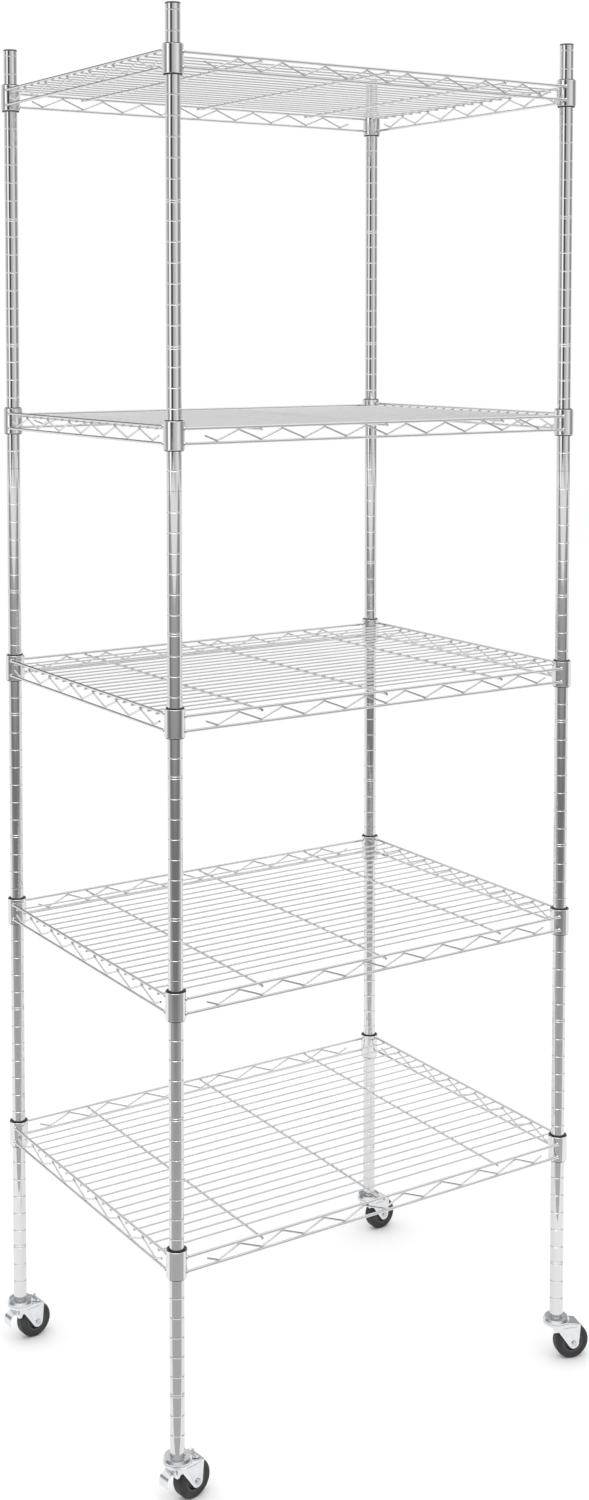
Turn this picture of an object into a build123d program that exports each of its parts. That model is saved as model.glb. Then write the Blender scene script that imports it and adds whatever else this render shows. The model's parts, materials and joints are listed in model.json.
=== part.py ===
"""Five-shelf chromed wire rack on casters.

Millimetres, +Z up, floor at z = 0.  X runs along the long side of the shelves, Y along the
short side.  The origin is on the floor under the middle of the whole footprint, casters
included.  Shelf 1 is the top shelf.  Corners are named fl, fr, bl, br: front or back, left or
right, with the front at -Y and the left at -X.
"""

import os
from math import atan2, cos, pi, sqrt

from build123d import *

# ---------------------------------------------------------------- driving dimensions
# Posts: grooved tubes in three sections, screwed end to end.
post_span_x = 630.5  # between post axes along the long side
post_span_y = 462.0  # between post axes along the short side
post_radius = 9.525
post_wall = 1.0
groove_pitch = 25.4
groove_width = 1.8
groove_depth = 0.45
foot_to_first_groove = 23.9
section_pitches = 24  # groove pitches from one section joint to the next
top_margin = 7.9  # from the last groove to the head of the tube
double_grooves = (3, 10, 17)  # groove numbers, from the section's lower end
double_gap = 3.0  # from a groove to its twin
tube_chamfer = 0.4

# End fittings of the tubes.
plug_length = 20.0
plug_clearance = 0.02
stud_radius = 4.0
stud_chamfer = 0.6
stud_length = 34.0
thread_clearance = 0.02
cap_thickness = 1.8
cap_fillet = 0.6
cap_plug_length = 10.0

# Shelves: each one sits with its collars' lower ends at a groove, counted from the foot.
shelf_grooves = (68, 50, 36, 22, 9)
collar_wall = 1.5  # over the widest part of the sleeve
collar_height = 35.5
collar_chamfer = 0.4
sleeve_clearance = 0.08  # between the tapered bore and the sleeve
sleeve_post_clearance = 0.04
sleeve_top_wall = 1.835
sleeve_bottom_wall = 2.435
sleeve_below = 1.3  # sleeve showing under the collar
sleeve_above = 1.2  # sleeve showing over the collar
sleeve_split = 4.0  # degrees of gap between the two halves, each side
ridge_pitches = 1  # the sleeve's ridge grips the groove this far above the shelf's own
ridge_height = 0.3
ridge_width = 1.0

# Wires, by diameter, and their levels over the collar's lower end.
rim_wire = 3.8
deck_wire = 2.5
cross_wire = 3.5
truss_wire = 2.6
wire_drop = 11.25  # from the collar's top to the underside of the deck wires
lower_rim_level = 7.5
rim_inset = 3.5  # the rims' middles lie this far inside the collars' outer edge
weld_bead = 0.8  # the bead's height over the rim
wire_overhang = 1.0  # deck and cross wires pass the outside of the rims by this much
deck_wire_count = 20
deck_edge = 25.8  # from the post axis to the first deck wire
cross_wire_count = 3
truss_edge = 54.8  # from the post axis to the first low bend of a long truss
long_truss_waves = 8
short_truss_waves = 6
cross_wire_waves = 3  # truss waves from one cross wire to the next
truss_bend_radius = 4.0
truss_stub = 16.0  # free end of the truss, measured along the rim

# Casters: trail along local +X, axle along local Y.
caster_turn = {"fl": 8.0, "bl": 7.0, "fr": -17.0, "br": 3.0}  # degrees
caster_trail = 22.5
wheel_radius = 25.0
tyre_width = 17.0
tyre_shoulder = 4.0
hub_radius = 15.0
hub_rim = 2.5
hub_key_width = 8.5  # the ring on the hub that holds the tyre
hub_key_height = 1.5
hub_boss_radius = 7.0
axle_radius = 3.0
running_clearance = 0.05
side_clearance = 0.3  # from the hub's ends to the fork
wheel_side_room = 2.5  # from the tyre to the fork
wheel_headroom = 3.0  # from the tyre to the fork's roof
fork_sheet = 2.0
fork_tip_radius = 8.0
leg_depth = 11.0  # from the crown's top down to the legs' front edge
leg_run = 8.0  # from the fork's front to where the legs' edge turns down to the axle
leg_fillet = 12.0
panel_rise = 0.6  # the legs' pressed panels
panel_radius = 5.2
panel_inset = 6.0  # from the legs' turn to the panel
panel_margin = 6.5  # from the crown's top to the panel
roof_bend = 16.0  # where the fork's roof starts to fall
roof_fall = 3.8
roof_overhang = 10.5  # the roof ends this far behind the axle
roof_fillet = 1.5
kingpin_radius = 4.0
neck_radius = 7.7
neck_length = 8.0  # from the upper cup to the foot of the post
race_gap = 0.5
cup_sheet = 1.6
cup_centre_rise = 0.9
cup_lip = 1.8
cup_slope = 2.0
sheet_shift = 0.7
crown_flange_height = 1.8
stem_radius = 4.75
stem_length = 24.0
stem_chamfer = 1.0
rivet_lip = 2.5  # the riveted head passes the kingpin by this much
rivet_height = 1.6
rivet_gap = 0.3
ball_radius = 2.5
ball_play = 0.45  # over and under the balls
ball_spacing = 0.8  # least gap from one ball to the next
race_step = 5.3  # from the neck to the circle of the balls
race_half_width = 3.2
crown_margin = 5.7  # from the circle of the balls to the crown's edge
axle_head_lip = 0.8
axle_head_height = 2.4
axle_head_fillet = 1.2

# Brake levers, on the two left casters.
braked = ("fl", "bl")
pivot_lead = 0.5  # the lever's pivot stands this far ahead of the wheel
pivot_drop = 8.0  # and this far under the crown's top
pivot_margin = 6.0  # from the pivot to the fork's front
lever_sheet = 1.2
lever_pin_radius = 2.0
lever_side_gap = 0.6  # from the lever's sides to the fork
arm_reach = 9.0  # from the pivot to the arms' front
arm_rise = 4.0  # the arms' height over the pivot, and their depth under it
pedal_reach = 19.0  # from the pivot to the pedal
pedal_drop = 18.0  # from the pivot down to the pedal's lower end
pedal_bow = 1.0
pedal_half_width = 8.0
shoe_gap = 1.4  # from the shoe to the tyre, lever up
shoe_depth = 5.6
shoe_drop = 11.5  # from the pivot to the shoe's lower end
shoe_half_width = 6.5
tab_back = 25.6  # the tab stands up through the roof, ahead of this line
tab_foot = 4.2
tab_half_width = 2.6
tab_height = 6.0
bridge_sink = 0.2  # the bridge between the arms starts this far under the crown's top
slot_play = 2.0  # room for the tab's feet in the roof

# ---------------------------------------------------------------- derived places
bore_radius = post_radius - post_wall
centre_x = -caster_trail / 2  # the casters trail to the right, so the posts stand to the left
corners = {
    "fl": (centre_x - post_span_x / 2, -post_span_y / 2),
    "fr": (centre_x + post_span_x / 2, -post_span_y / 2),
    "bl": (centre_x - post_span_x / 2, post_span_y / 2),
    "br": (centre_x + post_span_x / 2, post_span_y / 2),
}

# The sleeve goes round the post, and the collar round the sleeve.
sleeve_bore = post_radius + sleeve_post_clearance
sleeve_top_radius = sleeve_bore + sleeve_top_wall
sleeve_bottom_radius = sleeve_bore + sleeve_bottom_wall
collar_radius = sleeve_bottom_radius + collar_wall
rim_radius = rim_wire / 2
rim_offset = collar_radius - rim_inset
rim_x = post_span_x / 2 + rim_offset
rim_y = post_span_y / 2 + rim_offset
wire_level = collar_height - wire_drop

# The crown clears the wheel, the upper cup the balls, and the post stands on the neck.
axle_level = wheel_radius
crown_top = 2 * wheel_radius + wheel_headroom + fork_sheet
ball_circle = neck_radius + race_step
ball_count = int(2 * pi * ball_circle / (2 * ball_radius + ball_spacing))
crown_radius = ball_circle + crown_margin
cup_low = crown_top + crown_flange_height + race_gap
cup_centre = cup_low + cup_centre_rise
cup_race = crown_top + 2 * (ball_radius + ball_play)
foot_height = cup_centre + cup_sheet + neck_length
first_joint = foot_height + foot_to_first_groove + (section_pitches - 1) * groove_pitch
joint_levels = (first_joint, first_joint + section_pitches * groove_pitch)
tube_top = joint_levels[1] + (section_pitches - 1) * groove_pitch + top_margin

# The fork's legs stand beside the wheel, and the lever turns in front of it.
fork_inner_half = tyre_width / 2 + wheel_side_room
fork_outer_half = fork_inner_half + fork_sheet
leg_outer = fork_outer_half + panel_rise
lever_pivot_x = caster_trail - wheel_radius - pivot_lead
lever_pivot_z = crown_top - pivot_drop
fork_front = lever_pivot_x - pivot_margin
leg_front = fork_front + leg_run
fork_back = caster_trail + roof_overhang
fork_back_top = crown_top - roof_fall
panel_front = leg_front + panel_inset
panel_back = caster_trail + panel_radius

os.makedirs("parts", exist_ok=True)


def groove_level(number):
    """Height of a post groove, counted from the foot."""
    return foot_height + foot_to_first_groove + (number - 1) * groove_pitch


def save(name, builder):
    """Label a finished piece and write it as a STEP file."""
    builder.part.label = name
    export_step(builder.part, f"parts/{name}.step")


def placed(piece, places):
    """One part holding a copy of the piece at each place."""
    with BuildPart() as group:
        with Locations(*places):
            add(piece.part)
    return group


# ---------------------------------------------------------------- posts
def tube(low, high, grooves):
    """A grooved tube: one revolved profile, from its foot to its head."""
    ring = [(post_radius - tube_chamfer, low), (post_radius, low + tube_chamfer)]
    for level in sorted(grooves):
        ring.append((post_radius, level - groove_width / 2))
        ring.append((post_radius - groove_depth, level - groove_width / 6))
        ring.append((post_radius - groove_depth, level + groove_width / 6))
        ring.append((post_radius, level + groove_width / 2))
    ring += [(post_radius, high - tube_chamfer), (post_radius - tube_chamfer, high)]
    ring += [(bore_radius, high), (bore_radius, low)]
    with BuildPart() as body:
        with BuildSketch(Plane.XZ):
            with BuildLine():
                Polyline(*ring, close=True)
            make_face()
        revolve(axis=Axis.Z)
    return body


def section_grooves(first, last, doubled, twin_side):
    """Levels of the grooves numbered first to last, with the twins of the doubled ones."""
    levels = [groove_level(number) for number in range(first, last + 1)]
    return levels + [groove_level(number) + twin_side * double_gap for number in doubled]


lower_joint = section_pitches
upper_joint = 2 * section_pitches
top_groove = 3 * section_pitches - 1
sections = {
    "bottom": tube(
        foot_height,
        joint_levels[0],
        section_grooves(1, lower_joint - 1, double_grooves, 1),
    ),
    "middle": tube(
        joint_levels[0],
        joint_levels[1],
        section_grooves(
            lower_joint + 1,
            upper_joint - 1,
            [lower_joint + number for number in double_grooves],
            1,
        ),
    ),
    # The top section is the same tube the other way up.
    "top": tube(
        joint_levels[1],
        tube_top,
        section_grooves(
            upper_joint + 1,
            top_groove,
            [upper_joint + section_pitches - number for number in double_grooves],
            -1,
        ),
    ),
}
for corner, place in corners.items():
    for level, section in sections.items():
        save(f"post_{corner}_{level}", placed(section, [place]))

# Threaded plugs pressed into the tube ends: one at the foot, two at each joint.
with BuildPart() as foot_plug:
    with BuildSketch(Plane.XY.offset(foot_height)):
        Circle(bore_radius - plug_clearance)
        Circle(stem_radius + thread_clearance, mode=Mode.SUBTRACT)
    extrude(amount=stem_length)
with BuildPart() as joint_plug:
    with BuildSketch():
        Circle(bore_radius - plug_clearance)
        Circle(stud_radius + thread_clearance, mode=Mode.SUBTRACT)
    extrude(amount=plug_length)
with BuildPart() as post_plugs:
    for x, y in corners.values():
        with Locations((x, y, 0)):
            add(foot_plug.part)
        for level in joint_levels:
            with Locations((x, y, level), (x, y, level - plug_length)):
                add(joint_plug.part)
save("post_plugs", post_plugs)

with BuildPart() as stud:
    Cylinder(stud_radius, stud_length)
    chamfer(stud.edges().filter_by(GeomType.CIRCLE), length=stud_chamfer)
save(
    "joint_studs",
    placed(stud, [(x, y, level) for x, y in corners.values() for level in joint_levels]),
)

with BuildPart() as cap:
    with BuildSketch(Plane.XY.offset(tube_top)):
        Circle(post_radius)
    extrude(amount=cap_thickness)
    fillet(cap.edges().group_by(Axis.Z)[-1], radius=cap_fillet)
    with BuildSketch(Plane.XY.offset(tube_top)):
        Circle(bore_radius - plug_clearance)
    extrude(amount=-cap_plug_length)
save("post_caps", placed(cap, corners.values()))

# ---------------------------------------------------------------- sleeves and collars
sleeve_low = -sleeve_below
sleeve_high = collar_height + sleeve_above
sleeve_taper = (sleeve_bottom_radius - sleeve_top_radius) / (sleeve_high - sleeve_low)


def sleeve_radius(level):
    """Outer radius of the tapered sleeve at a height over the collar's lower end."""
    return sleeve_bottom_radius - sleeve_taper * (level - sleeve_low)


# The sleeve's ridge snaps into the groove above the one that carries the collar's lower end.
ridge_level = ridge_pitches * groove_pitch
with BuildPart() as sleeve_pair:
    for turn in (0, 180):
        with BuildSketch(Plane.XZ.rotated((0, 0, turn + sleeve_split / 2))):
            with BuildLine():
                Polyline(
                    (sleeve_bore, sleeve_low),
                    (sleeve_radius(sleeve_low), sleeve_low),
                    (sleeve_radius(sleeve_high), sleeve_high),
                    (sleeve_bore, sleeve_high),
                    (sleeve_bore, ridge_level + ridge_width / 2),
                    (post_radius - ridge_height, ridge_level + ridge_width / 4),
                    (post_radius - ridge_height, ridge_level - ridge_width / 4),
                    (sleeve_bore, ridge_level - ridge_width / 2),
                    close=True,
                )
            make_face()
        revolve(axis=Axis.Z, revolution_arc=180 - sleeve_split)

with BuildPart() as collar:
    with BuildSketch(Plane.XZ):
        with BuildLine():
            Polyline(
                (sleeve_radius(0) + sleeve_clearance, 0),
                (collar_radius - collar_chamfer, 0),
                (collar_radius, collar_chamfer),
                (collar_radius, collar_height - collar_chamfer),
                (collar_radius - collar_chamfer, collar_height),
                (sleeve_radius(collar_height) + sleeve_clearance, collar_height),
                close=True,
            )
        make_face()
    revolve(axis=Axis.Z)

# ---------------------------------------------------------------- shelf wires
front_rim_level = wire_level + rim_radius
side_rim_level = wire_level + deck_wire + rim_radius
weld_reach = sqrt(collar_radius**2 - rim_offset**2)  # from the post axis to the wire's end
long_pitch = (post_span_x - 2 * truss_edge) / long_truss_waves
deck_pitch = (post_span_y - 2 * deck_edge) / (deck_wire_count - 1)
short_pitch = deck_pitch * (deck_wire_count - 2) / short_truss_waves

# A straight rim from collar to collar, its ends cut to their round behind weld beads.
def rim(span):
    """A rim along X, centred, whose ends meet two collars that stand span apart."""
    reach = span / 2 - weld_reach
    with BuildPart() as wire:
        with BuildSketch(Plane.XZ):
            Rectangle(2 * reach, rim_radius, align=(Align.CENTER, Align.MIN))
            with Locations((-reach, 0), (reach, 0)):
                Circle(rim_radius + weld_bead)
            Rectangle(2 * span, rim_wire, align=(Align.CENTER, Align.MAX), mode=Mode.SUBTRACT)
        revolve(axis=Axis.X)
        with BuildSketch(Plane.XY.offset(-rim_wire)):
            with Locations((-span / 2, -rim_offset), (span / 2, -rim_offset)):
                Circle(collar_radius)
        extrude(amount=2 * rim_wire, mode=Mode.SUBTRACT)
    return wire


long_rim = rim(post_span_x)
short_rim = rim(post_span_y)
truss_low = lower_rim_level + rim_radius + truss_wire / 2
truss_high = wire_level - truss_wire / 2


def truss(plane, pitch, waves):
    """A zigzag wire in the plane, centred on its origin, with its bends rounded."""
    slope = atan2(truss_high - truss_low, pitch / 2)
    relief = truss_bend_radius * (1 / cos(slope) - 1)  # a bend's arc stops this short
    low = truss_low - relief
    high = truss_high + relief
    start = -pitch * waves / 2
    stub_rise = (high - low) * truss_stub / (pitch / 2)
    points = [(start - truss_stub, low + stub_rise)]
    for wave in range(waves):
        points.append((start + wave * pitch, low))
        points.append((start + (wave + 0.5) * pitch, high))
    points.append((-start, low))
    points.append((truss_stub - start, low + stub_rise))
    with BuildPart() as wire:
        with BuildLine(plane) as path:
            FilletPolyline(*points, radius=truss_bend_radius)
        with BuildSketch(path.line ^ 0):
            Circle(truss_wire / 2)
        sweep(transition=Transition.ROUND)
    return wire


front_plane = Plane(origin=(centre_x, 0, 0), x_dir=(1, 0, 0), z_dir=(0, -1, 0))
side_plane = Plane(origin=(centre_x, 0, 0), x_dir=(0, 1, 0), z_dir=(1, 0, 0))
long_truss = truss(front_plane, long_pitch, long_truss_waves)
short_truss = truss(side_plane, short_pitch, short_truss_waves)
with BuildPart() as shelf_frame:
    for side, turn in ((1, 0), (-1, 180)):
        for level in (lower_rim_level, front_rim_level):
            with Locations(Location((centre_x, side * rim_y, level), (0, 0, turn))):
                add(long_rim.part)
        for level in (lower_rim_level, side_rim_level):
            with Locations(Location((centre_x + side * rim_x, 0, level), (0, 0, turn - 90))):
                add(short_rim.part)
        with Locations((0, side * rim_y, 0)):
            add(long_truss.part)
        with Locations((side * rim_x, 0, 0)):
            add(short_truss.part)

deck_length = 2 * (rim_x + rim_radius + wire_overhang)
with BuildPart() as deck_wires:
    with Locations((centre_x, 0, wire_level + deck_wire / 2)):
        with GridLocations(0, deck_pitch, 1, deck_wire_count):
            Cylinder(deck_wire / 2, deck_length, rotation=(0, 90, 0))

cross_length = 2 * (rim_y + rim_radius + wire_overhang)
with BuildPart() as cross_wires:
    with Locations((centre_x, 0, wire_level - cross_wire / 2)):
        with GridLocations(cross_wire_waves * long_pitch, 0, cross_wire_count, 1):
            Cylinder(cross_wire / 2, cross_length, rotation=(90, 0, 0))

shelf_collars = placed(collar, corners.values())
shelf_sleeves = placed(sleeve_pair, corners.values())
for number, groove in enumerate(shelf_grooves, start=1):
    seat = [(0, 0, groove_level(groove))]
    save(f"shelf_{number}_collars", placed(shelf_collars, seat))
    save(f"shelf_{number}_frame", placed(shelf_frame, seat))
    save(f"shelf_{number}_deck_wires", placed(deck_wires, seat))
    save(f"shelf_{number}_cross_wires", placed(cross_wires, seat))
    save(f"sleeves_{number}", placed(shelf_sleeves, seat))

# ---------------------------------------------------------------- casters
caster_places = {
    corner: Location((x, y, 0), (0, 0, caster_turn[corner]))
    for corner, (x, y) in corners.items()
}

# Stem: threaded rod, neck, and a kingpin with a riveted head under the fork's crown.
rivet_top = crown_top - fork_sheet - rivet_gap
rivet_radius = kingpin_radius + rivet_lip
stem_top = foot_height + stem_length - stem_chamfer
with BuildPart() as stem:
    with BuildSketch(Plane.XZ):
        with BuildLine():
            Polyline(
                (0, rivet_top - rivet_height),
                (rivet_radius - stem_chamfer, rivet_top - rivet_height),
                (rivet_radius, rivet_top - rivet_height + stem_chamfer),
                (rivet_radius, rivet_top),
                (kingpin_radius, rivet_top),
                (kingpin_radius, cup_centre + cup_sheet),
                (neck_radius, cup_centre + cup_sheet),
                (neck_radius, foot_height),
                (stem_radius, foot_height),
                (stem_radius, stem_top - stem_chamfer),
                (stem_radius - stem_chamfer, stem_top),
                (0, stem_top),
                close=True,
            )
        make_face()
    revolve(axis=Axis.Z)

# Upper cup: a pressed disc, low at the neck, raised over the balls, with a turned-down lip.
# Its profile is a line with the sheet's thickness over it, moved a little along the slopes.
cup_bore = kingpin_radius + thread_clearance
race_inner = ball_circle - race_half_width
race_outer = ball_circle + race_half_width
cup_inner = crown_radius - cup_sheet
with BuildPart() as cup:
    with BuildSketch(Plane.XZ):
        with BuildLine():
            Polyline(
                (cup_bore, cup_centre),
                (race_inner + sheet_shift - cup_slope, cup_centre),
                (race_inner + sheet_shift, cup_race),
                (race_outer, cup_race),
                (cup_inner, cup_low + cup_lip - sheet_shift),
                (cup_inner, cup_low),
                (crown_radius, cup_low),
                (crown_radius, cup_low + cup_lip),
                (race_outer + sheet_shift / 2, cup_race + cup_sheet),
                (race_inner, cup_race + cup_sheet),
                (race_inner - cup_slope, cup_centre + cup_sheet),
                (cup_bore, cup_centre + cup_sheet),
                close=True,
            )
        make_face()
    revolve(axis=Axis.Z)

with BuildPart() as caster_stems:
    with Locations(*caster_places.values()):
        add(stem.part)
        add(cup.part)
save("caster_stems", caster_stems)

with BuildPart() as balls:
    with Locations((0, 0, (crown_top + cup_race) / 2)):
        with PolarLocations(ball_circle, ball_count):
            Sphere(ball_radius)
save("swivel_balls", placed(balls, caster_places.values()))

# Fork: crown disc with a raised rim, a roof that falls to the back, and two tapering legs.
with BuildPart() as fork:
    with BuildSketch(Plane.XZ) as leg_face:
        with BuildLine() as leg_edges:
            Polyline(
                (leg_front, crown_top - leg_depth),
                (roof_bend, crown_top),
                (fork_back, fork_back_top),
                (caster_trail + fork_tip_radius, axle_level),
            )
            CenterArc((caster_trail, axle_level), fork_tip_radius, 0, 359.9)
        make_hull(leg_edges.edges())
        with Locations((fork_front, crown_top)):
            Rectangle(roof_bend - fork_front, leg_depth, align=(Align.MIN, Align.MAX))
        turn_down = leg_face.vertices().sort_by_distance((leg_front, 0, crown_top - leg_depth))[0]
        fillet(turn_down, radius=leg_fillet)
    extrude(amount=fork_outer_half, both=True)
    fillet(
        fork.edges()
        .filter_by(lambda edge: abs(edge.center().Y) > fork_outer_half - 0.01)
        .filter_by(lambda edge: edge.center().Z > fork_back_top and edge.length > 10),
        radius=roof_fillet,
    )
    with BuildSketch(Plane.XZ):
        with BuildLine():
            Polyline(
                (-2 * fork_back, 0),
                (-2 * fork_back, crown_top - fork_sheet),
                (roof_bend, crown_top - fork_sheet),
                (fork_back, fork_back_top - fork_sheet),
                (2 * fork_back, fork_back_top - fork_sheet),
                (2 * fork_back, 0),
                close=True,
            )
        make_face()
    extrude(amount=fork_inner_half, both=True, mode=Mode.SUBTRACT)
    with BuildSketch(Plane.XY.offset(crown_top - fork_sheet)):
        Circle(crown_radius)
    extrude(amount=fork_sheet)
    with BuildSketch(Plane.XY.offset(crown_top)):
        Circle(crown_radius)
        Circle(crown_radius - cup_sheet, mode=Mode.SUBTRACT)
    extrude(amount=crown_flange_height)
    with BuildSketch(Plane.XY.offset(crown_top - fork_sheet)):
        Circle(kingpin_radius + running_clearance)
    extrude(amount=fork_sheet, mode=Mode.SUBTRACT)
    for leg_plane in (Plane.XZ.offset(fork_outer_half), Plane.XZ.offset(-fork_outer_half)):
        with BuildSketch(leg_plane):
            with BuildLine() as panel_edges:
                Line(
                    (panel_front, crown_top - panel_margin),
                    (panel_back, crown_top - panel_margin),
                )
                CenterArc((caster_trail, axle_level), panel_radius, 0, 359.9)
            make_hull(panel_edges.edges())
        extrude(amount=panel_rise if leg_plane.origin.Y < 0 else -panel_rise)
    with BuildSketch(Plane.XZ):
        with Locations((caster_trail, axle_level)):
            Circle(axle_radius)
    extrude(amount=leg_outer, both=True, mode=Mode.SUBTRACT)

# A braked fork has a bore for the lever's pivot, and slots in its roof for the tab's feet.
arm_outer = fork_inner_half - lever_side_gap
arm_inner = arm_outer - lever_sheet
slot_length = tab_foot + 2 * slot_play
with BuildPart() as braked_fork:
    add(fork.part)
    with BuildSketch(Plane.XY.offset(crown_top)):
        with Locations((tab_back - tab_foot / 2, 0)):
            Rectangle(slot_length, 2 * fork_inner_half)
            Rectangle(slot_length, 2 * (arm_inner - lever_side_gap), mode=Mode.SUBTRACT)
    extrude(amount=-(crown_top - lever_pivot_z), mode=Mode.SUBTRACT)
    with BuildSketch(Plane.XZ):
        with Locations((lever_pivot_x, lever_pivot_z)):
            Circle(lever_pin_radius + running_clearance)
    extrude(amount=fork_outer_half, both=True, mode=Mode.SUBTRACT)

# Axle: a rivet with a round head on both sides.
with BuildPart() as axle:
    with BuildSketch(Plane.XZ):
        with Locations((caster_trail, axle_level)):
            Circle(axle_radius)
    extrude(amount=leg_outer, both=True)
    for head_plane in (Plane.XZ.offset(leg_outer), Plane.XZ.offset(-leg_outer)):
        with BuildSketch(head_plane):
            with Locations((caster_trail, axle_level)):
                Circle(axle_radius + axle_head_lip)
        extrude(amount=axle_head_height if head_plane.origin.Y < 0 else -axle_head_height)
    ends = axle.faces().sort_by(Axis.Y)
    fillet((ends[0].edges() + ends[-1].edges()), radius=axle_head_fillet)

# Wheel: a rubber tyre keyed on a plastic hub that turns on the axle.
tyre_half = tyre_width / 2
key_half = hub_key_width / 2
hub_half = fork_inner_half - side_clearance
hub_bore = axle_radius + running_clearance
wheel_axis = Axis((caster_trail, 0, axle_level), (0, 1, 0))
with BuildPart() as tyre:
    with BuildSketch(Plane.XY.offset(axle_level)):
        with Locations((caster_trail + (hub_radius + wheel_radius) / 2, 0)):
            Rectangle(wheel_radius - hub_radius, tyre_width)
        with Locations((caster_trail + hub_radius, 0)):
            Rectangle(2 * hub_key_height, hub_key_width, mode=Mode.SUBTRACT)
    revolve(axis=wheel_axis)
    fillet(
        tyre.faces().filter_by(GeomType.CYLINDER).sort_by(Axis.Z)[-1].edges(),
        radius=tyre_shoulder,
    )
with BuildPart() as hub:
    with BuildSketch(Plane.XY.offset(axle_level)):
        with BuildLine():
            Polyline(
                (caster_trail + hub_bore, -hub_half),
                (caster_trail + hub_boss_radius, -hub_half),
                (caster_trail + hub_boss_radius, -key_half),
                (caster_trail + hub_radius - hub_rim, -key_half),
                (caster_trail + hub_radius - hub_rim, -tyre_half),
                (caster_trail + hub_radius, -tyre_half),
                (caster_trail + hub_radius, -key_half),
                (caster_trail + hub_radius + hub_key_height, -key_half),
                (caster_trail + hub_radius + hub_key_height, key_half),
                (caster_trail + hub_radius, key_half),
                (caster_trail + hub_radius, tyre_half),
                (caster_trail + hub_radius - hub_rim, tyre_half),
                (caster_trail + hub_radius - hub_rim, key_half),
                (caster_trail + hub_boss_radius, key_half),
                (caster_trail + hub_boss_radius, hub_half),
                (caster_trail + hub_bore, hub_half),
                close=True,
            )
        make_face()
    revolve(axis=wheel_axis)

# Brake lever: two side arms that straddle the wheel, joined by the pedal in front and by the
# tab's bridge over the roof behind.  The shoe below the pivot closes on the tyre when the
# pedal is pressed, and the tab lifts.
bridge_level = crown_top - bridge_sink
tab_front = tab_back - tab_foot
arm_front = lever_pivot_x - arm_reach
pedal_x = lever_pivot_x - pedal_reach
pedal_tip = lever_pivot_z - pedal_drop
with BuildPart() as lever:
    with BuildSketch(Plane.XZ):
        with BuildLine():
            Polyline(
                (arm_front, lever_pivot_z + arm_rise / 2),
                (lever_pivot_x, lever_pivot_z + arm_rise),
                (tab_front, lever_pivot_z + arm_rise / 2),
                (tab_front, bridge_level + lever_sheet),
                (tab_back, bridge_level + lever_sheet),
                (tab_back, lever_pivot_z - arm_rise / 3),
                (lever_pivot_x + 2 * arm_rise, lever_pivot_z - arm_rise),
                (arm_front, lever_pivot_z - arm_rise),
                close=True,
            )
        make_face()
    extrude(amount=arm_outer, both=True)
    with BuildSketch(Plane.XZ):
        Rectangle(8 * fork_back, 4 * crown_top)
    extrude(amount=arm_inner, both=True, mode=Mode.SUBTRACT)
    with BuildSketch(Plane.XZ):
        with Locations((lever_pivot_x, lever_pivot_z)):
            Rectangle(shoe_depth, shoe_drop, align=(Align.CENTER, Align.MAX))
        with Locations((caster_trail, axle_level)):
            Circle(wheel_radius + shoe_gap, mode=Mode.SUBTRACT)
    extrude(amount=shoe_half_width, both=True)
    with BuildSketch(Plane.XZ):
        with Locations((tab_front, bridge_level)):
            Rectangle(tab_foot, lever_sheet, align=Align.MIN)
        with Locations((arm_front, lever_pivot_z - arm_rise)):
            Rectangle(lever_sheet, arm_rise * 1.5, align=(Align.CENTER, Align.MIN))
    extrude(amount=arm_outer, both=True)
    with BuildSketch(Plane.XZ):
        with Locations((tab_back, bridge_level)):
            Rectangle(lever_sheet, tab_height, align=(Align.MAX, Align.MIN))
    extrude(amount=tab_half_width, both=True)
    with BuildSketch(Plane.XZ):
        with BuildLine() as pedal_line:
            Spline(
                (arm_front, lever_pivot_z - pedal_bow),
                (pedal_x, pedal_tip + pedal_drop / 2),
                (pedal_x + pedal_bow, pedal_tip),
            )
        trace(pedal_line.line, line_width=lever_sheet)
    extrude(amount=pedal_half_width, both=True)
    with BuildSketch(Plane.XZ):
        with Locations((lever_pivot_x, lever_pivot_z)):
            Circle(lever_pin_radius)
    extrude(amount=fork_outer_half, both=True)

for corner, place in caster_places.items():
    save(f"fork_{corner}", placed(braked_fork if corner in braked else fork, [place]))
    save(f"axle_{corner}", placed(axle, [place]))
    save(f"tyre_{corner}", placed(tyre, [place]))
    save(f"hub_{corner}", placed(hub, [place]))
for corner in braked:
    save(f"brake_lever_{corner}", placed(lever, [caster_places[corner]]))
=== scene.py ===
# %% [markdown]
# # A chromed wire shelving rack on casters
#
# The rack is nearly all polished metal, so most of its look is in two things: how
# smooth the plating is, and what there is around it to reflect. This lesson starts
# with the finishes, goes on to the small pieces that the frame leaves out, and ends
# with the studio, because chrome in an empty room looks like grey paint.

# %% Load the frame
import json
import math

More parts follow.
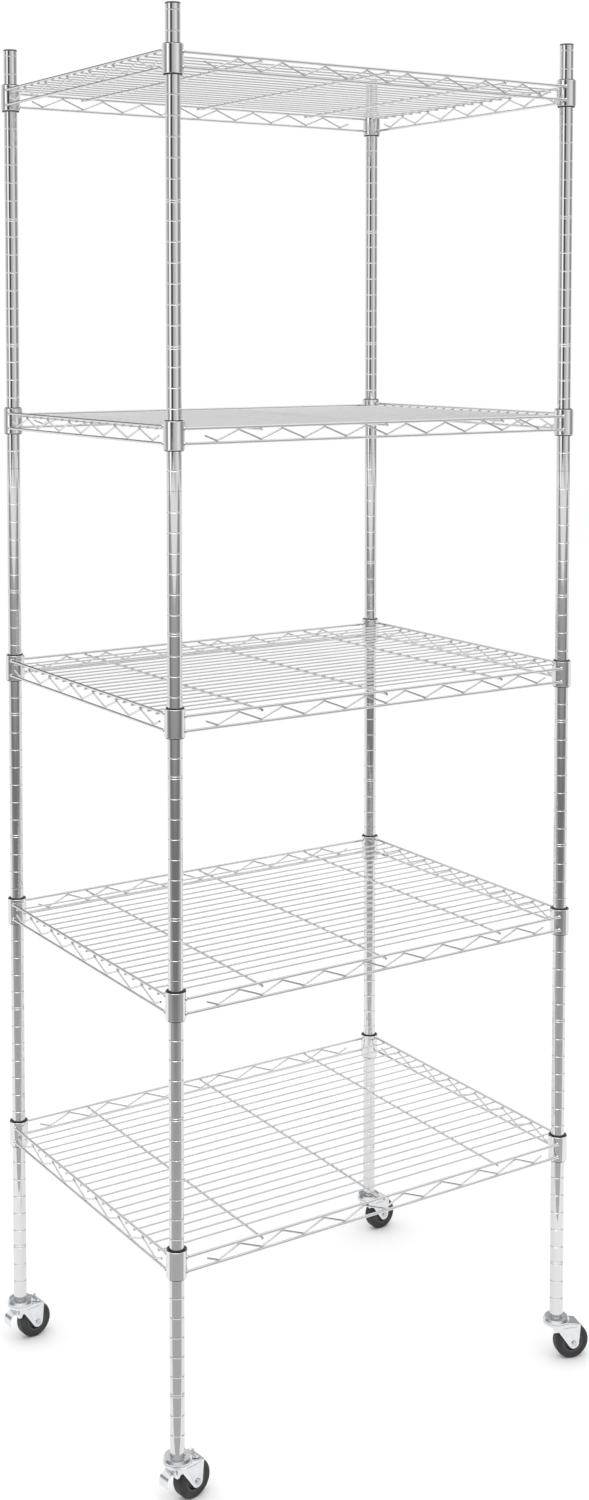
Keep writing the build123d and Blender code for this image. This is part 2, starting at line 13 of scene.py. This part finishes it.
import bpy
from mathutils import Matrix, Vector


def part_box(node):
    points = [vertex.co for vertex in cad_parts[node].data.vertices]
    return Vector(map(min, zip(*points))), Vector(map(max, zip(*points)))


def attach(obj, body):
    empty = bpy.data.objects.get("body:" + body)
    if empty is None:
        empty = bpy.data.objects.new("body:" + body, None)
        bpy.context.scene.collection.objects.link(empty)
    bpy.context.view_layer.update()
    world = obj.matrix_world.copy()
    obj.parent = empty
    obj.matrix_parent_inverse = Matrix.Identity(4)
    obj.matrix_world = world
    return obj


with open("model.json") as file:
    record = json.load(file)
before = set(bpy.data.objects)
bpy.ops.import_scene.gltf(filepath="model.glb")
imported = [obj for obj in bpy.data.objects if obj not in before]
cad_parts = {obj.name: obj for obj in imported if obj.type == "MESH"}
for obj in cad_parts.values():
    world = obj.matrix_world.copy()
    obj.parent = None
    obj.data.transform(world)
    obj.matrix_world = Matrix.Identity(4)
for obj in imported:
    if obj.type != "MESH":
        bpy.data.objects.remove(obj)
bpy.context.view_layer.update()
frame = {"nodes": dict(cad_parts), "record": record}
nodes = frame["nodes"]

# %% [markdown]
# ## Helpers for materials
#
# A finish is a small graph of nodes. Colours are written as the hex values that a
# paint chart or a screen shows, and one function turns them into the linear values
# that the shader works in. A second function adds a node, sets what it is told to,
# and links what it is given, so that each graph below reads from its pattern to
# its shader.

# %% Colour and node helpers


def colour(hex_code):
    """Linear RGBA of an sRGB hex code such as "c8cacc"."""
    channels = [int(hex_code[i : i + 2], 16) / 255 for i in (0, 2, 4)]
    linear = [c / 12.92 if c <= 0.04045 else ((c + 0.055) / 1.055) ** 2.4 for c in channels]
    return (*linear, 1.0)


def add_node(tree, kind, sockets=None, **settings):
    """A new node. A socket's value may be a number, a colour or another node's output."""
    node = tree.nodes.new(kind)
    for name, value in settings.items():
        setattr(node, name, value)
    for name, value in (sockets or {}).items():
        if isinstance(value, bpy.types.NodeSocket):
            tree.links.new(value, node.inputs[name])
        else:
            node.inputs[name].default_value = value
    return node


def fill_ramp(ramp, stops):
    """Give a colour ramp its stops, each a position and a linear colour."""
    elements = ramp.color_ramp.elements
    while len(elements) < len(stops):
        elements.new(0.5)
    for element, (position, stop_colour) in zip(elements, stops):
        element.position = position
        element.color = stop_colour


def grey(level):
    """A linear grey of that brightness."""
    return (level, level, level, 1)


def new_finish(name):
    """A material, its node tree, its shader, and the Object coordinates to draw patterns on."""
    material = bpy.data.materials.new(name)
    material.use_nodes = True
    tree = material.node_tree
    shader = tree.nodes["Principled BSDF"]
    place = add_node(tree, "ShaderNodeTexCoord").outputs["Object"]
    return material, tree, shader, place


def per_metre(size_mm):
    """A noise scale whose features are about that many millimetres across."""
    return 1000 / size_mm


print("chrome on a chart: c8cacc is", [round(c, 3) for c in colour("c8cacc")[:3]])

# %% [markdown]
# ## Bright chrome plate
#
# Chromium is plated over nickel on drawn steel. It is a metal, so it has no diffuse
# colour of its own, and it is nearly a mirror, but not a perfect one: the tube below
# was drawn through a die, which leaves long faint streaks along it, and handling
# leaves a little haze. Both belong in the roughness, where they only show as a
# slight change in how sharp a reflection is. A bump that is far too fine to see as
# relief breaks the edges of the reflections up, as on the real tube.

# %% Chrome plate on drawn tube and wire


def chrome_plate(name, hex_code, streak_mm, haze):
    """Polished chrome whose drawing streaks run along the axis with the long streak size."""
    material, tree, shader, place = new_finish(name)
    stretched = add_node(
        tree,
        "ShaderNodeMapping",
        {"Vector": place, "Scale": [per_metre(size) for size in streak_mm]},
    ).outputs["Vector"]
    streaks = add_node(tree, "ShaderNodeTexNoise", {"Vector": stretched, "Scale": 1.0, "Detail": 3.0})
    smears = add_node(tree, "ShaderNodeTexNoise", {"Vector": place, "Scale": per_metre(90), "Detail": 2.0})
    both = add_node(
        tree,
        "ShaderNodeMath",
        {0: streaks.outputs["Fac"], 1: smears.outputs["Fac"]},
        operation="MULTIPLY",
    )
    roughness = add_node(
        tree,
        "ShaderNodeMapRange",
        {"Value": both.outputs[0], "From Min": 0.1, "From Max": 0.45, "To Min": haze, "To Max": haze * 2},
    )
    ripple = add_node(
        tree,
        "ShaderNodeBump",
        {"Height": streaks.outputs["Fac"], "Strength": 0.08, "Distance": 0.00005},
    )
    tree.links.new(roughness.outputs["Result"], shader.inputs["Roughness"])
    tree.links.new(ripple.outputs["Normal"], shader.inputs["Normal"])
    shader.inputs["Base Color"].default_value = colour(hex_code)
    shader.inputs["Metallic"].default_value = 1.0
    return material


post_chrome = chrome_plate("chrome plate on drawn tube", "d9d9d9", (2.5, 2.5, 60.0), 0.03)
wire_chrome = chrome_plate("chrome plate on drawn wire", "dcdcdc", (6.0, 6.0, 6.0), 0.06)
print("plated finishes:", post_chrome.name, "and", wire_chrome.name)

# %% [markdown]
# ## Zinc plate on pressed steel
#
# The casters are pressed from sheet and bright zinc plated, which is cheaper than
# chrome: whiter, softer in its reflections, and slightly cloudy, because the sheet
# was not polished first. The cloudiness is a coarse noise in the roughness and a
# very slight one in the colour.

# %% Zinc plate


def zinc_plate(name, hex_light, hex_dark, rough):
    """Bright zinc on pressed sheet: a pale metal with soft clouds a few millimetres across."""
    material, tree, shader, place = new_finish(name)
    clouds = add_node(tree, "ShaderNodeTexNoise", {"Vector": place, "Scale": per_metre(7), "Detail": 4.0})
    tint = add_node(
        tree,
        "ShaderNodeMix",
        {"Factor": clouds.outputs["Fac"], "A": colour(hex_dark), "B": colour(hex_light)},
        data_type="RGBA",
    )
    roughness = add_node(
        tree,
        "ShaderNodeMapRange",
        {
            "Value": clouds.outputs["Fac"],
            "From Min": 0.3,
            "From Max": 0.7,
            "To Min": rough,
            "To Max": rough * 1.6,
        },
    )
    tree.links.new(tint.outputs["Result"], shader.inputs["Base Color"])
    tree.links.new(roughness.outputs["Result"], shader.inputs["Roughness"])
    shader.inputs["Metallic"].default_value = 1.0
    return material


caster_zinc = zinc_plate("bright zinc plate on pressed steel", "eceef0", "d2d5d8", 0.16)
turned_zinc = zinc_plate("zinc plate on turned steel", "d8dadd", "b9bcc0", 0.22)
ball_steel = zinc_plate("polished bearing steel", "d0d2d5", "c4c6c9", 0.05)

# %% [markdown]
# ## Moulded plastic and rubber
#
# The split sleeves are moulded in black plastic, with the fine spark-eroded texture
# of the mould. The tyres are moulded rubber, which is duller, and scuffed grey where
# they have rolled. In both, a fine noise in the bump stops the highlight from being
# a clean line.

# %% Moulded finishes


def moulded(name, hex_code, rough, grain_mm, depth_mm, scuff_hex=None):
    """Plastic or rubber from a textured mould, with paler scuffs if a colour for them is given."""
    material, tree, shader, place = new_finish(name)
    grain = add_node(
        tree,
        "ShaderNodeTexNoise",
        {"Vector": place, "Scale": per_metre(grain_mm), "Detail": 2.0},
    )
    bump = add_node(
        tree,
        "ShaderNodeBump",
        {"Height": grain.outputs["Fac"], "Strength": 0.35, "Distance": depth_mm / 1000},
    )
    tree.links.new(bump.outputs["Normal"], shader.inputs["Normal"])
    shader.inputs["Base Color"].default_value = colour(hex_code)
    shader.inputs["Roughness"].default_value = rough
    if scuff_hex:
        patches = add_node(
            tree,
            "ShaderNodeTexNoise",
            {"Vector": place, "Scale": per_metre(12), "Detail": 6.0},
        )
        worn = add_node(
            tree,
            "ShaderNodeMapRange",
            {
                "Value": patches.outputs["Fac"],
                "From Min": 0.45,
                "From Max": 0.75,
                "To Min": 0.0,
                "To Max": 0.6,
            },
        )
        tint = add_node(
            tree,
            "ShaderNodeMix",
            {"Factor": worn.outputs["Result"], "A": colour(hex_code), "B": colour(scuff_hex)},
            data_type="RGBA",
        )
        tree.links.new(tint.outputs["Result"], shader.inputs["Base Color"])
    return material


sleeve_plastic = moulded("black moulded ABS", "17181a", 0.42, 0.7, 0.03)
cap_plastic = moulded("dark grey moulded polyethylene", "55575a", 0.4, 0.7, 0.03)
hub_plastic = moulded("dark grey moulded nylon", "3d3e40", 0.5, 0.8, 0.04)
tyre_rubber = moulded("black moulded rubber", "1f1f21", 0.55, 0.9, 0.06, scuff_hex="414144")

# %% Give each part of the frame its finish
finishes = {
    "post_chrome": post_chrome,
    "wire_chrome": wire_chrome,
    "plug_steel": turned_zinc,
    "cap_plastic": cap_plastic,
    "sleeve_plastic": sleeve_plastic,
    "caster_zinc": caster_zinc,
    "axle_zinc": turned_zinc,
    "ball_steel": ball_steel,
    "tyre_rubber": tyre_rubber,
    "hub_plastic": hub_plastic,
}
for subpart in frame["record"]["subparts"]:
    for material_slot in nodes[subpart["node"]].material_slots:
        material_slot.material = finishes[subpart["material_slot"]]

# %% [markdown]
# ## Weld nuggets
#
# Where two wires cross they are welded by pressing them together while a current
# runs through them. The steel melts where they touch, and a little of it squeezes
# out as a low bead round the joint. Each bead is a small flattened ball, centred on
# the line where the deck wire lies on the wire under it, and chromed with the rest.
# The places are measured from the frame, so the beads follow it.

# %% A bead at each crossing of the decks
deck_wires_per_shelf = 20
bead_radius = 0.0019
bead_height = 0.0011
side_rim_inset = 0.0019  # half the rim wire, from the frame's outer face


def deck_crossings(shelf):
    """Where the deck wires of a shelf lie on the cross wires and on the side rims."""
    deck_low, deck_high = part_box(f"shelf_{shelf}_deck_wires")
    cross_low, cross_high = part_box(f"shelf_{shelf}_cross_wires")
    frame_low, frame_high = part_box(f"shelf_{shelf}_frame")
    deck_radius = (deck_high[2] - deck_low[2]) / 2
    cross_radius = (cross_high[2] - cross_low[2]) / 2
    first_y = deck_low[1] + deck_radius
    step_y = (deck_high[1] - deck_radius - first_y) / (deck_wires_per_shelf - 1)
    middle_x = (cross_low[0] + cross_high[0]) / 2
    cross_x = (cross_low[0] + cross_radius, middle_x, cross_high[0] - cross_radius)
    rim_x = (frame_low[0] + side_rim_inset, frame_high[0] - side_rim_inset)
    columns = [(x, deck_low[2]) for x in cross_x] + [(x, deck_high[2]) for x in rim_x]
    rows = [first_y + row * step_y for row in range(deck_wires_per_shelf)]
    return [(x, y, z) for y in rows for x, z in columns]


for shelf in range(1, 6):
    bpy.ops.object.select_all(action="DESELECT")
    bpy.ops.mesh.primitive_uv_sphere_add(segments=10, ring_count=6, radius=1.0)
    beads = bpy.context.active_object
    beads.name = f"weld_beads_{shelf}"
    ball = [vertex.co.copy() for vertex in beads.data.vertices]
    ball_faces = [tuple(face.vertices) for face in beads.data.polygons]
    corners, faces = [], []
    for place in deck_crossings(shelf):
        start = len(corners)
        for point in ball:
            corners.append(
                (
                    place[0] + point.x * bead_radius,
                    place[1] + point.y * bead_radius,
                    place[2] + point.z * bead_height,
                )
            )
        faces += [tuple(start + index for index in face) for face in ball_faces]
    beads.data.clear_geometry()
    beads.data.from_pydata(corners, [], faces)
    beads.data.polygons.foreach_set("use_smooth", [True] * len(faces))
    beads.data.update()
    beads.data.materials.append(wire_chrome)
    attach(beads, f"shelf_{shelf}")
print("weld beads on each shelf:", len(deck_crossings(1)))

# %% [markdown]
# ## The studio
#
# A chromed post shows the whole room. White paper below and behind the rack lifts
# the lower ends of the posts to a pale, even grey. Where the paper ends, in front of
# the rack, the posts mirror the floor beyond it. That floor is drawn as a glowing card seen
# only in reflections, and its grey bands are a painted reflection. Higher up the posts mirror the
# walls, with a dark gap beside a bright panel. That order of bands is what makes the
# eye say chrome. The room is drawn in the world, seen only in reflections, and all
# other light is plain and white.

# %% The room that the metal mirrors
camera_yaw = math.radians(32.5)  # the camera looks this far round from +Y towards +X
towards_camera = Vector((-math.sin(camera_yaw), -math.cos(camera_yaw), 0))

world = bpy.data.worlds.new("white studio")
bpy.context.scene.world = world
world.use_nodes = True
room = world.node_tree
room.nodes.clear()
direction = add_node(room, "ShaderNodeTexCoord").outputs["Generated"]
# Turned so that the seam of the radial gradient lies behind the rack.
turned = add_node(
    room,
    "ShaderNodeMapping",
    {"Vector": direction, "Rotation": (0, 0, -math.atan2(towards_camera.y, towards_camera.x))},
)
around = add_node(
    room,
    "ShaderNodeTexGradient",
    {"Vector": turned.outputs["Vector"]},
    gradient_type="RADIAL",
)
walls = add_node(room, "ShaderNodeValToRGB", {"Fac": around.outputs["Fac"]})
wall_bands = [  # degrees round from the camera, to its left if negative, and brightness
    (-180, 1.0),
    (-137, 1.0),
    (-104, 0.8),
    (-84, 0.4),
    (-66, 0.42),
    (-58, 1.5),
    (-46, 1.5),
    (-36, 0.5),
    (-27, 0.05),
    (-12, 0.07),
    (-3, 0.55),
    (30, 0.78),
    (52, 1.05),
    (64, 0.9),
    (80, 0.36),
    (104, 0.34),
    (135, 0.85),
    (180, 1.0),
]
height = add_node(room, "ShaderNodeSeparateXYZ", {"Vector": direction}).outputs["Z"]
over_walls = add_node(
    room,
    "ShaderNodeMapRange",
    {"Value": height, "From Min": 0.2, "From Max": 0.26, "To Min": 0.0, "To Max": 1.0},
)
ceiling = add_node(room, "ShaderNodeValToRGB", {"Fac": height})
ceiling_bands = [(0.0, 0.2), (0.46, 0.2), (0.56, 1.15), (1.0, 1.15)]  # sine of the height, brightness
mirrored = add_node(
    room,
    "ShaderNodeMix",
    {"Factor": over_walls.outputs["Result"], "A": walls.outputs["Color"], "B": ceiling.outputs["Color"]},
    data_type="RGBA",
)
fill_ramp(walls, [((angle + 180) / 360, grey(level)) for angle, level in wall_bands])
fill_ramp(ceiling, [(height_sine, grey(level)) for height_sine, level in ceiling_bands])
seen_by = add_node(room, "ShaderNodeLightPath")
room_colour = add_node(
    room,
    "ShaderNodeMix",
    {"Factor": seen_by.outputs["Is Glossy Ray"], "A": (1, 1, 1, 1), "B": mirrored.outputs["Result"]},
    data_type="RGBA",
)
glow = add_node(room, "ShaderNodeBackground", {"Color": room_colour.outputs["Result"], "Strength": 1.0})
add_node(room, "ShaderNodeOutputWorld", {"Surface": glow.outputs["Background"]})

# %% Paper, a glowing card for the floor's painted reflection, and a soft light
studio_width = 30
paper_edge = 0.47  # from the middle of the rack to where the paper ends in front
bare_depth = 8.0
bare_lift = 0.004  # over the paper, so that the two don't share a plane
light_place = (-1.2, -1.0, 4.0)
light_width = 3.0
light_watts = 36

paper, _, paper_shader, _ = new_finish("white studio paper")
paper_shader.inputs["Base Color"].default_value = colour("ffffff")
paper_shader.inputs["Roughness"].default_value = 0.9
paper_shader.inputs["Specular IOR Level"].default_value = 0.0
bpy.ops.object.select_all(action="DESELECT")
bpy.ops.mesh.primitive_plane_add(size=studio_width, location=(0, 0, 0))
floor = bpy.context.active_object
floor.name = "floor"
floor.data.materials.append(paper)

# The bare floor beyond the paper is a glowing card, hidden from the camera, from diffuse light and from
# shadows. Its grey bands are a painted reflection of the floor, not a lit surface.
bare, bare_tree, bare_shader, bare_place = new_finish("glowing card with painted floor reflection")
bare_shader.inputs["Base Color"].default_value = (0, 0, 0, 1)
bare_shader.inputs["Specular IOR Level"].default_value = 0.0
bare_shader.inputs["Emission Strength"].default_value = 1.0
along = add_node(bare_tree, "ShaderNodeSeparateXYZ", {"Vector": bare_place}).outputs["Y"]
from_far = add_node(bare_tree, "ShaderNodeMath", {0: along, 1: 0.5}, operation="ADD").outputs[0]
painted_reflection_ramp = add_node(bare_tree, "ShaderNodeValToRGB", {"Fac": from_far})
# Painted reflection: these are the glow's grey bands along the card, darkest a little before the paper's
# edge.
painted_reflection_bands = [  # from the far end to the paper's edge
    (0.0, "c0c0c0"),
    (0.5, "a6a6a6"),
    (0.66, "868686"),
    (0.79, "8a8a8a"),
    (0.87, "b4b4b4"),
    (1.0, "c8c8c8"),
]
fill_ramp(painted_reflection_ramp, [(position, colour(hex_code)) for position, hex_code in painted_reflection_bands])
bare_tree.links.new(painted_reflection_ramp.outputs["Color"], bare_shader.inputs["Emission Color"])
bpy.ops.mesh.primitive_plane_add(
    size=1,
    location=towards_camera * (paper_edge + bare_depth / 2) + Vector((0, 0, bare_lift)),
    rotation=(0, 0, -camera_yaw),
)
glowing_floor_card = bpy.context.active_object
glowing_floor_card.name = "glowing_floor_card"
glowing_floor_card.scale = (studio_width, bare_depth, 1)
glowing_floor_card.data.materials.append(bare)
glowing_floor_card.visible_camera = False
glowing_floor_card.visible_diffuse = False
glowing_floor_card.visible_shadow = False

bpy.ops.object.light_add(type="AREA", location=light_place)
soft_light = bpy.context.active_object
soft_light.data.shape = "RECTANGLE"
soft_light.data.size = light_width
soft_light.data.size_y = light_width
soft_light.data.energy = light_watts
soft_light.rotation_euler = (-soft_light.location).to_track_quat("-Z", "Y").to_euler()
print("studio: paper to", paper_edge, "m in front of the middle of the rack")

# %% [markdown]
# ## The camera
#
# The camera stands a little to the left of the rack at about four fifths of its
# height, near enough that the front post looks clearly taller than the others. It
# is nearly level, and its lens is shifted down, as an architectural photographer
# would do it, so that the posts stay upright in the picture.

# %% Camera
posts_middle = Vector((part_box("post_fl_top")[0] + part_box("post_br_top")[1]) / 2)
camera_data = bpy.data.cameras.new("camera")
camera = bpy.data.objects.new("camera", camera_data)
bpy.context.scene.collection.objects.link(camera)
camera_reach = Vector((-1.4713, -2.2444))  # from the middle of the posts
camera_height = 1.482
camera_pitch = 0.057
camera_roll = 0.0007
film = 36
lens_length = 1894 / 1500  # in heights of the film
camera.location = (
    posts_middle.x + camera_reach.x,
    posts_middle.y + camera_reach.y,
    camera_height,
)
camera.rotation_euler = (math.pi / 2 - camera_pitch, camera_roll, -camera_yaw)
camera_data.sensor_fit = "VERTICAL"
camera_data.sensor_height = film
camera_data.sensor_width = film
camera_data.lens = film * lens_length
camera_data.shift_x = 0.0223
camera_data.shift_y = -0.2073
bpy.context.scene.camera = camera
print("camera at", [round(v, 3) for v in camera.location])

# %% Finish
bpy.context.scene.view_settings.view_transform = "Standard"
